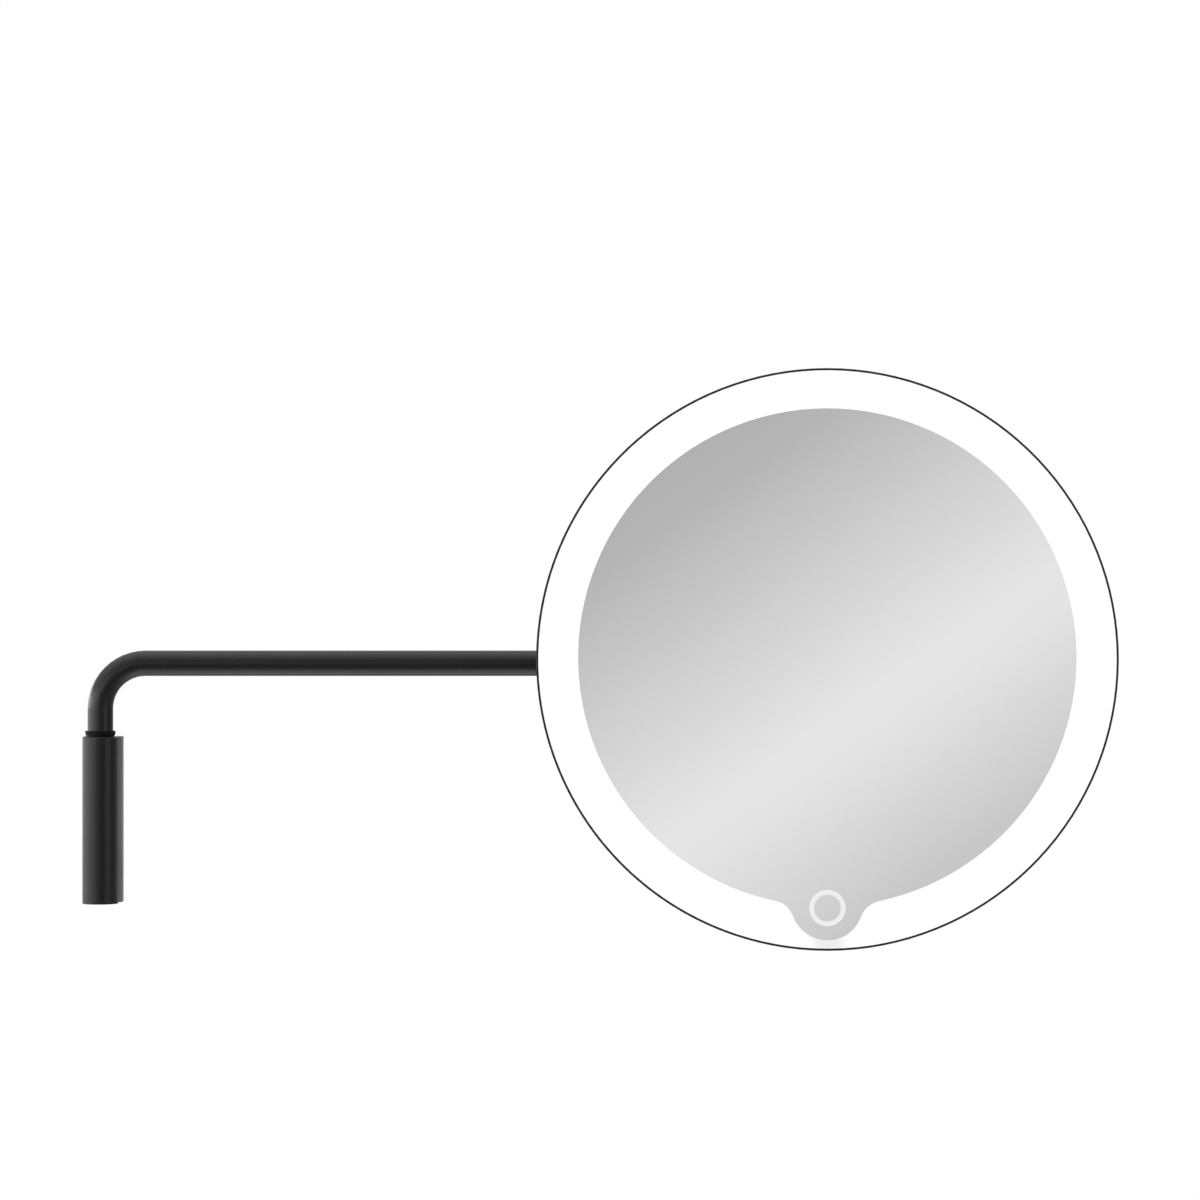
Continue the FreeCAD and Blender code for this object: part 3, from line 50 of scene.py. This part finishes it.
def scaled(tint, factor):
    """A colour made darker or lighter, at most white."""
    return tuple(min(1.0, part * factor) for part in tint)


def set_span(node, start, end, low, high):
    """Sets a map range node to take start..end to low..high."""
    for socket, number in (
        ("From Min", start),
        ("From Max", end),
        ("To Min", low),
        ("To Max", high),
    ):
        node.inputs[socket].default_value = number


def set_stops(ramp, stops):
    """Gives a new colour ramp its (position, colour) stops."""
    elements = ramp.color_ramp.elements
    while len(elements) < len(stops):
        elements.new(0.5)
    for element, (position, tint) in zip(elements, stops):
        element.position = position
        element.color = (*tint, 1.0)


class Finish:
    """A node material: a Principled shader, with patterns measured in the piece's own space."""

    def __init__(self, name, roughness, metallic=0.0, specular=0.5):
        self.material = bpy.data.materials.new(name)
        self.material.use_nodes = True
        self.tree = self.material.node_tree
        self.shader = self.tree.nodes["Principled BSDF"]
        self.shader.inputs["Roughness"].default_value = roughness
        self.shader.inputs["Metallic"].default_value = metallic
        self.shader.inputs["Specular IOR Level"].default_value = specular
        self.space = self.add("ShaderNodeTexCoord").outputs["Object"]

    def add(self, kind, **settings):
        node = self.tree.nodes.new(kind)
        for key, value in settings.items():
            setattr(node, key, value)
        return node

    def link(self, out, into):
        self.tree.links.new(out, into)

    def stretched(self, scale):
        """The piece's space, scaled apart along its axes."""
        mapping = self.add("ShaderNodeMapping")
        mapping.inputs["Scale"].default_value = scale
        self.link(self.space, mapping.inputs["Vector"])
        return mapping.outputs["Vector"]

    def noise(self, size, detail=2.0, space=None):
        """Soft noise whose features are about size metres across."""
        node = self.add("ShaderNodeTexNoise")
        node.inputs["Scale"].default_value = 1 / size
        node.inputs["Detail"].default_value = detail
        self.link(space or self.space, node.inputs["Vector"])
        return node.outputs["Fac"]

    def cells(self, size):
        """Rounded cells about size metres across."""
        node = self.add("ShaderNodeTexVoronoi", feature="SMOOTH_F1")
        node.inputs["Scale"].default_value = 1 / size
        node.inputs["Smoothness"].default_value = 0.6
        self.link(self.space, node.inputs["Vector"])
        return node.outputs["Distance"]

    def rings(self, size, axis, middle):
        """Fine turning marks round an axis through a point, about size metres apart."""
        mapping = self.add("ShaderNodeMapping")
        mapping.inputs["Location"].default_value = -Vector(middle)
        self.link(self.space, mapping.inputs["Vector"])
        node = self.add("ShaderNodeTexWave", wave_type="RINGS", rings_direction=axis)
        node.inputs["Scale"].default_value = WAVE_SPACING / size
        node.inputs["Distortion"].default_value = 1.5
        self.link(mapping.outputs["Vector"], node.inputs["Vector"])
        return node.outputs["Fac"]

    def spread(self, pattern, low, high, dark=NOISE_LOW, bright=NOISE_HIGH):
        """Maps a pattern's usual span to the span low to high."""
        node = self.add("ShaderNodeMapRange")
        set_span(node, dark, bright, low, high)
        self.link(pattern, node.inputs["Value"])
        return node.outputs["Result"]

    def colour(self, pattern, stops, into="Base Color"):
        """Colours a pattern with a ramp of (position, colour) stops."""
        ramp = self.add("ShaderNodeValToRGB")
        set_stops(ramp, stops)
        self.link(pattern, ramp.inputs["Fac"])
        self.link(ramp.outputs["Color"], self.shader.inputs[into])

    def mottle(self, pattern, dark, light):
        """Colours a noise from dark to light over its usual span."""
        self.colour(pattern, [(NOISE_LOW, dark), (NOISE_HIGH, light)])

    def rough(self, pattern, low, high):
        """Lets a pattern vary the roughness from low to high."""
        self.link(self.spread(pattern, low, high), self.shader.inputs["Roughness"])

    def bump(self, pattern, depth, strength=1.0, after=None):
        """Raises a pattern by about depth metres, on top of an earlier bump."""
        node = self.add("ShaderNodeBump")
        node.inputs["Distance"].default_value = depth
        node.inputs["Strength"].default_value = strength
        self.link(pattern, node.inputs["Height"])
        if after:
            self.link(after, node.inputs["Normal"])
        self.link(node.outputs["Normal"], self.shader.inputs["Normal"])
        return node.outputs["Normal"]


# ---------------------------------------------------------------------------------------------
# Finishes
# ---------------------------------------------------------------------------------------------


def powder_coat(name, level, specular, sheen):
    """Satin black powder coat: an orange-peel swell under a fine grain, dusty at a low angle."""
    finish = Finish(name, 0.34, specular=specular)
    finish.shader.inputs["Sheen Weight"].default_value = sheen
    finish.shader.inputs["Sheen Roughness"].default_value = 0.4
    tint = (level * 0.97, level * 1.04, level)
    finish.mottle(finish.noise(18 * MM, detail=3), scaled(tint, 0.78), scaled(tint, 1.25))
    finish.rough(finish.noise(1.1 * MM, detail=4), 0.29, 0.39)
    swell = finish.bump(finish.noise(1.3 * MM, detail=1), 0.02 * MM, 0.5)
    finish.bump(finish.cells(0.32 * MM), 0.012 * MM, 0.5, after=swell)
    return finish.material


def moulded(name, tint, roughness, grain, specular=0.4):
    """Moulded plastic: a spark-eroded grain and faint flow marks."""
    finish = Finish(name, roughness, specular=specular)
    flow = finish.noise(9 * MM, detail=3, space=finish.stretched((1.0, 1.0, 0.35)))
    finish.colour(flow, [(0.25, scaled(tint, 0.88)), (0.75, scaled(tint, 1.1))])
    finish.rough(finish.noise(0.9 * MM, detail=4), roughness - 0.07, roughness + 0.07)
    finish.bump(finish.cells(grain), 0.02 * MM, 0.45)
    return finish.material


def plated(name, tint, roughness, stretch):
    """Bare or plated metal, drawn or rolled along one axis."""
    finish = Finish(name, roughness, metallic=1.0)
    streaks = finish.noise(0.25 * MM, detail=4, space=finish.stretched(stretch))
    finish.mottle(finish.noise(3 * MM, detail=4), scaled(tint, 0.86), scaled(tint, 1.08))
    finish.rough(streaks, roughness - 0.08, roughness + 0.1)
    finish.bump(streaks, 0.006 * MM, 0.5)
    return finish.material


def oxide_screw(name, axis, middle):
    """Black oxide on turned steel: concentric tool marks with a dull oil sheen."""
    finish = Finish(name, 0.38, metallic=0.85)
    marks = finish.rings(0.35 * MM, axis, middle)
    finish.mottle(
        finish.noise(1.6 * MM, detail=4), (0.012, 0.013, 0.014), (0.03, 0.03, 0.032)
    )
    finish.rough(finish.noise(0.8 * MM, detail=3), 0.3, 0.48)
    finish.bump(marks, 0.006 * MM, 0.5)
    return finish.material


def silver(name):
    """Silvered float glass: nearly perfect, with the faintest haze."""
    finish = Finish(name, 0.012, metallic=1.0)
    finish.mottle(
        finish.noise(60 * MM, detail=2), (0.908, 0.909, 0.908), (0.918, 0.919, 0.918)
    )
    finish.rough(finish.noise(14 * MM, detail=5), 0.009, 0.015)
    return finish.material


# Share of a glowing piece's light that is left at its point of painted shade, where the glow is
# painted darker.
PAINTED_SHADE_SHARE = 0.78


def glowing(name, body, level, roughness, shade, reach):
    """Opal acrylic lit from behind, its glow painted darker within reach of the point shade: painted
    shade.
    """
    finish = Finish(name, roughness, specular=0.35)
    finish.mottle(finish.noise(7 * MM, detail=3), grey(body * 0.96), grey(body))
    far = finish.add("ShaderNodeVectorMath", operation="DISTANCE")
    far.inputs[1].default_value = shade
    finish.link(finish.space, far.inputs[0])
    light = finish.spread(far.outputs["Value"], 0.0, 1.0, dark=0.0, bright=reach)
    # Painted shade: the glow is darkest near the point and eases back to its full level at reach.
    stops = [(0.25, grey(level * PAINTED_SHADE_SHARE)), (0.6, grey(level * 0.97)), (1.0, grey(level))]
    finish.colour(light, stops, into="Emission Color")
    finish.shader.inputs["Emission Strength"].default_value = 1.0
    finish.rough(finish.noise(0.6 * MM, detail=3), roughness - 0.06, roughness + 0.06)
    finish.bump(finish.cells(0.25 * MM), 0.006 * MM, 0.3)
    return finish.material


def foam(name, tint):
    """Closed-cell foam tape: pores that dip into the surface, painted darker inside as painted
    shade.
    """
    finish = Finish(name, 0.9, specular=0.2)
    pores = finish.cells(0.45 * MM)
    # Painted shade: the colour darkens towards each pore's middle, where the bump dips.
    finish.colour(pores, [(0.1, scaled(tint, 0.6)), (0.6, tint)])
    finish.rough(finish.noise(0.7 * MM), 0.82, 0.97)
    finish.bump(pores, 0.15 * MM, 0.7)
    return finish.material


def board_mask(name):
    """Green solder mask over copper tracks."""
    finish = Finish(name, 0.34, specular=0.5)
    tracks = finish.add("ShaderNodeTexBrick", offset=0.35)
    for socket, number in (
        ("Scale", 1.0),
        ("Brick Width", 5.2 * MM),
        ("Row Height", 1.3 * MM),
        ("Mortar Size", 0.16 * MM),
    ):
        tracks.inputs[socket].default_value = number
    turn = finish.add("ShaderNodeMapping")
    turn.inputs["Rotation"].default_value = (math.pi / 2, 0, 0)
    finish.link(finish.space, turn.inputs["Vector"])
    finish.link(turn.outputs["Vector"], tracks.inputs["Vector"])
    finish.colour(
        tracks.outputs["Fac"], [(0.0, (0.012, 0.115, 0.055)), (1.0, (0.03, 0.21, 0.1))]
    )
    finish.rough(finish.noise(2 * MM), 0.28, 0.42)
    finish.bump(tracks.outputs["Fac"], 0.03 * MM, 0.6)
    return finish.material


def insulation(name, tint):
    """A soft, slightly uneven coating: wire sleeves and phosphor."""
    finish = Finish(name, 0.45)
    finish.mottle(finish.noise(1.5 * MM, detail=3), scaled(tint, 0.75), tint)
    finish.rough(finish.noise(0.6 * MM), 0.38, 0.55)
    finish.bump(finish.noise(0.4 * MM), 0.01 * MM, 0.4)
    return finish.material


def box_middle(name):
    """The middle of a node's box."""
    low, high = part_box(name)
    return (low + high) / 2


def make_finishes():
    """Each node's finish, by the node's name."""
    # The mirror's tab comes down to just above the foot of the light ring; the ring's glow is
    # painted darker there, a painted shadow of the tab.
    ring_low, ring_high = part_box("light_diffuser")
    tab_foot = ((ring_low.x + ring_high.x) / 2, ring_low.y, ring_low.z + 3 * MM)
    mark = box_middle("touch_mark")
    coat = powder_coat("powder_coat", 0.0025, 0.45, 0.01)
    cover = powder_coat("cover_coat", 0.19, 0.5, 0.08)
    housing = moulded("housing_black", (0.0105, 0.0112, 0.0108), 0.56, 0.4 * MM, 0.35)
    acetal_black = moulded("acetal_black", (0.004, 0.0042, 0.004), 0.5, 0.7 * MM, 0.12)
    acetal_white = moulded("acetal_natural", (0.78, 0.78, 0.74), 0.45, 0.7 * MM)
    tray = moulded("tray_white", (0.84, 0.84, 0.83), 0.55, 0.5 * MM)
    zinc = plated("zinc_plate", (0.6, 0.62, 0.63), 0.34, (1.0, 1.0, 0.05))
    shell = plated("socket_shell", (0.62, 0.62, 0.61), 0.3, (1.0, 0.06, 1.0))
    foil = plated("pouch_foil", (0.68, 0.69, 0.7), 0.38, (0.08, 1.0, 1.0))
    copper = plated("copper_foil", (0.85, 0.48, 0.32), 0.36, (0.1, 1.0, 1.0))
    tape = foam("foam_tape", (0.12, 0.12, 0.12))
    finishes = {
        "wall_plate": zinc,
        "back_channel": cover,
        "sleeve_tube": coat,
        "upper_bushing": acetal_black,
        "lower_bushing": acetal_white,
        "thrust_washer": acetal_white,
        "friction_disc": acetal_white,
        "end_cap": acetal_black,
        "arm_tube": coat,
        "arm_plug": zinc,
        "spring_washer": zinc,
        "arm_eye": coat,
        "swivel_fork": coat,
        "swivel_washers": acetal_white,
        "tilt_bracket": coat,
        "tilt_washers": acetal_white,
        "rear_housing": housing,
        "inner_frame": tray,
        "mirror_glass": silver("silvered_glass"),
        "glass_tape": tape,
        # The light ring's glow carries the painted shadow of the mirror's tab.
        "light_diffuser": glowing("opal_lit", 0.25, 0.85, 0.5, tab_foot, 13 * MM),
        # The touch mark's glow is painted darker towards its own middle.
        "touch_mark": glowing("touch_mark_lit", 0.2, 0.78, 0.4, mark, 12 * MM),
        "touch_pad": copper,
        "led_strip": moulded("strip_white", (0.8, 0.8, 0.78), 0.4, 0.6 * MM),
        "led_chips": insulation("led_phosphor", (0.9, 0.78, 0.3)),
        "control_board": board_mask("solder_mask"),
        "board_parts": moulded("part_black", (0.02, 0.02, 0.021), 0.45, 0.5 * MM),
        "board_screws": zinc,
        "charge_socket": shell,
        "battery": foil,
        "battery_tape": tape,
        "inner_wires": insulation("wire_red", (0.42, 0.03, 0.025)),
    }
    for name, axis in (
        ("lock_screw", "Z"),
        ("tension_screw", "Z"),
        ("eye_pin", "Z"),
        ("swivel_pin", "Z"),
        ("swivel_screw", "Z"),
        ("tilt_pin", "X"),
        ("tilt_screw", "X"),
        ("bracket_screws", "Y"),
        ("frame_screws", "Y"),
    ):
        finishes[name] = oxide_screw(f"oxide_{name}", axis, box_middle(name))
    return finishes


def dress(piece, material):
    """Gives a carried-over node one finish all over."""
    mesh = piece.data
    mesh.materials.clear()
    mesh.materials.append(material)
    for polygon in mesh.polygons:
        polygon.material_index = 0


# ---------------------------------------------------------------------------------------------
# Studio
# ---------------------------------------------------------------------------------------------

# The round floor: its middle, radius, own light, and how finely its mesh is cut.
FLOOR_MIDDLE = Vector((0.12, 0.05, -0.62))
FLOOR_RADIUS = 0.55
FLOOR_GLOW = 0.57
FLOOR_RINGS = 24
FLOOR_SPOKES = 96

# The card behind the camera, in tangents of the angle from straight ahead: the slope of its
# pale band in degrees, its middle, how far it reaches either way across the band, and its
# shades over that reach. It blends into the room between two angles, in degrees.
CARD_SLOPE = 35
CARD_MIDDLE = (0.052, -0.0131)
CARD_REACH = 0.0667
CARD_STOPS = [
    (0.09, 0.482),
    (0.16, 0.51),
    (0.5, 0.78),
    (0.6, 0.865),
    (0.66, 0.845),
    (0.91, 0.626),
]
CARD_INSIDE = 8
CARD_OUTSIDE = 12

# Brightness of the room in front and at the back, on the left, in the long light there, low
# down on the right, overhead and straight below.
ROOM_GREY = (0.2, 0.35)
ROOM_LEFT = 0.45
ROOM_BAND = 5.2
ROOM_RIGHT = 0.26
ROOM_TOP = 1.4
ROOM_DOWN = 1.7
# Where those ease in and out, in parts of a unit vector's height, or of its depth for the grey,
# and the powers that keep the lights overhead and below near the upright.
BAND_FOOT = (-0.05, 0.06)
BAND_HEAD = (0.13, 0.26)
RIGHT_HEAD = (-0.12, 0.02)
GREY_DEPTH = (0.3, 0.9)
TOP_POWER = 2.5
DOWN_POWER = 6.0
# Keeps the card's tangents finite for directions off to the side or behind the part.
LEAST_TOWARD = 0.05

# The camera: how far in front of the mirror it is, the width it sees there, and how far it
# stands to the left of the mirror's middle and above it. The sensor is in millimetres.
CAMERA_DISTANCE = 1.5
CAMERA_WIDTH = 0.4117
CAMERA_LEFT = 0.07804
CAMERA_ABOVE = 0.0204
CAMERA_SENSOR = 36


def make_floor():
    """A plain pale floor, well below the mirror."""
    points = [FLOOR_MIDDLE]
    faces = []
    for ring in range(1, FLOOR_RINGS + 1):
        reach = FLOOR_RADIUS * ring / FLOOR_RINGS
        for spoke in range(FLOOR_SPOKES):
            turn = 2 * math.pi * spoke / FLOOR_SPOKES
            points.append(FLOOR_MIDDLE + reach * Vector((math.cos(turn), math.sin(turn), 0)))
    for spoke in range(FLOOR_SPOKES):
        faces.append((0, 1 + spoke, 1 + (spoke + 1) % FLOOR_SPOKES))
    for ring in range(1, FLOOR_RINGS):
        inner = 1 + (ring - 1) * FLOOR_SPOKES
        outer = inner + FLOOR_SPOKES
        for spoke in range(FLOOR_SPOKES):
            following = (spoke + 1) % FLOOR_SPOKES
            faces.append((inner + spoke, outer + spoke, outer + following, inner + following))
    mesh = bpy.data.meshes.new("floor")
    mesh.from_pydata(points, [], faces)
    floor = bpy.data.objects.new("floor", mesh)
    # The room below takes the floor's place in reflections, so the mirror never shows its edge.
    floor.visible_glossy = False
    scene.collection.objects.link(floor)
    finish = Finish("floor_plaster", 0.85, specular=0.1)
    finish.mottle(finish.noise(0.5, detail=4), grey(0.86), grey(0.89))
    finish.shader.inputs["Emission Color"].default_value = (1.0, 1.0, 1.0, 1.0)
    finish.shader.inputs["Emission Strength"].default_value = FLOOR_GLOW
    finish.rough(finish.noise(0.02, detail=3), 0.8, 0.92)
    finish.bump(finish.noise(0.004, detail=3), 0.1 * MM, 0.3)
    mesh.materials.append(finish.material)


def make_lamp(name, at, aim, size, power):
    """A soft box that faces a point."""
    data = bpy.data.lights.new(name, "AREA")
    data.shape = "RECTANGLE"
    data.size, data.size_y = size
    data.energy = power
    lamp = bpy.data.objects.new(name, data)
    lamp.location = at
    lamp.rotation_mode = "QUATERNION"
    lamp.rotation_quaternion = (Vector(aim) - Vector(at)).to_track_quat("-Z", "Y")
    scene.collection.objects.link(lamp)


def make_surroundings():
    """White surroundings to look at. What the pieces reflect is a grey room: a soft card with
    one pale diagonal band behind the camera, which the mirror shows, a long low light on the
    left, a bright ceiling and a bright floor."""
    world = bpy.data.worlds.new("studio")
    world.use_nodes = True
    scene.world = world
    tree = world.node_tree
    nodes, links = tree.nodes, tree.links
    nodes.clear()

    def add(kind, **settings):
        node = nodes.new(kind)
        for key, value in settings.items():
            setattr(node, key, value)
        return node

    def maths(operation, first, second=None):
        node = add("ShaderNodeMath", operation=operation)
        for socket, item in zip(node.inputs, (first, second)):
            if item is None:
                continue
            if isinstance(item, (int, float)):
                socket.default_value = item
            else:
                links.new(item, socket)
        return node.outputs[0]

    where = add("ShaderNodeTexCoord").outputs["Generated"]
    axes = add("ShaderNodeSeparateXYZ")
    links.new(where, axes.inputs[0])
    across, along, up = axes.outputs
    toward = maths("MAXIMUM", maths("MULTIPLY", along, -1.0), LEAST_TOWARD)
    side = maths("DIVIDE", across, toward)
    rise = maths("DIVIDE", up, toward)

    # The band lies across the direction that falls to the right at 55 degrees.
    slope = math.radians(CARD_SLOPE)
    run = maths(
        "SUBTRACT",
        maths("MULTIPLY", maths("SUBTRACT", side, CARD_MIDDLE[0]), math.sin(slope)),
        maths("MULTIPLY", maths("SUBTRACT", rise, CARD_MIDDLE[1]), math.cos(slope)),
    )
    spot = add("ShaderNodeMapRange")
    set_span(spot, -CARD_REACH, CARD_REACH, 0.0, 1.0)
    links.new(run, spot.inputs["Value"])
    card = add("ShaderNodeValToRGB")
    set_stops(card, [(position, grey(level)) for position, level in CARD_STOPS])
    links.new(spot.outputs["Result"], card.inputs["Fac"])

    def eased(value, start, end, low, high):
        node = add("ShaderNodeMapRange", interpolation_type="SMOOTHSTEP")
        set_span(node, start, end, low, high)
        links.new(value, node.inputs["Value"])
        return node.outputs["Result"]

    # Away from the card the room is grey and lighter at the back. A long low light stands over
    # the horizon on the left, and the right is lighter below the horizon. Ceiling and floor
    # are bright.
    inside, outside = (math.cos(math.radians(angle)) for angle in (CARD_INSIDE, CARD_OUTSIDE))
    openness = eased(maths("MULTIPLY", along, -1.0), inside, outside, 0.0, 1.0)
    leftness = maths("MAXIMUM", maths("MULTIPLY", across, -1.0), 0.0)
    band = maths("MULTIPLY", eased(up, *BAND_FOOT, 0.0, 1.0), eased(up, *BAND_HEAD, 1.0, 0.0))
    long_light = maths("ADD", maths("MULTIPLY", band, ROOM_BAND), ROOM_LEFT)
    leftward = maths("MULTIPLY", leftness, long_light)
    overhead = maths("POWER", maths("MAXIMUM", up, 0.0), TOP_POWER)
    down = maths("MAXIMUM", maths("MULTIPLY", up, -1.0), 0.0)
    below = maths("MULTIPLY", maths("POWER", down, DOWN_POWER), ROOM_DOWN)
    rightness = maths("MAXIMUM", across, 0.0)
    rightward = maths("MULTIPLY", rightness, eased(up, *RIGHT_HEAD, ROOM_RIGHT, 0.0))
    sides = maths("ADD", maths("ADD", leftward, rightward), below)
    room = maths("ADD", sides, maths("MULTIPLY", overhead, ROOM_TOP))
    mix = add("ShaderNodeMix", data_type="RGBA")
    links.new(openness, mix.inputs["Factor"])
    links.new(card.outputs["Color"], mix.inputs["A"])
    links.new(maths("ADD", room, eased(along, *GREY_DEPTH, *ROOM_GREY)), mix.inputs["B"])
    lit = add("ShaderNodeBackground")
    links.new(mix.outputs["Result"], lit.inputs["Color"])
    plain = add("ShaderNodeBackground")
    plain.inputs["Color"].default_value = (1.0, 1.0, 1.0, 1.0)
    plain.inputs["Strength"].default_value = 1.0
    seen = add("ShaderNodeLightPath").outputs["Is Camera Ray"]
    blend = add("ShaderNodeMixShader")
    links.new(seen, blend.inputs["Fac"])
    links.new(lit.outputs[0], blend.inputs[1])
    links.new(plain.outputs[0], blend.inputs[2])
    out = add("ShaderNodeOutputWorld")
    links.new(blend.outputs[0], out.inputs["Surface"])


def make_camera():
    """Level, looking straight along +Y at the front of the mirror."""
    head_low, head_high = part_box("rear_housing")
    middle = (head_low + head_high) / 2
    data = bpy.data.cameras.new("camera")
    data.sensor_width = CAMERA_SENSOR
    data.lens = CAMERA_SENSOR * CAMERA_DISTANCE / CAMERA_WIDTH
    data.clip_end = 50
    camera = bpy.data.objects.new("camera", data)
    camera.location = (
        middle.x - CAMERA_LEFT,
        head_low.y - CAMERA_DISTANCE,
        middle.z + CAMERA_ABOVE,
    )
    camera.rotation_euler = (math.pi / 2, 0, 0)
    scene.collection.objects.link(camera)
    scene.camera = camera


for name, material in make_finishes().items():
    dress(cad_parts[name], material)
make_floor()
make_surroundings()
make_lamp("key", at=(-1.6, -0.5, 1.1), aim=(0.12, 0, 0.03), size=(1.2, 1.2), power=1.8)
make_lamp("fill", at=(1.4, -0.95, 0.3), aim=(0.1, 0, 0.03), size=(1.1, 0.9), power=2.7)
make_camera()
scene.view_settings.view_transform = "Standard"
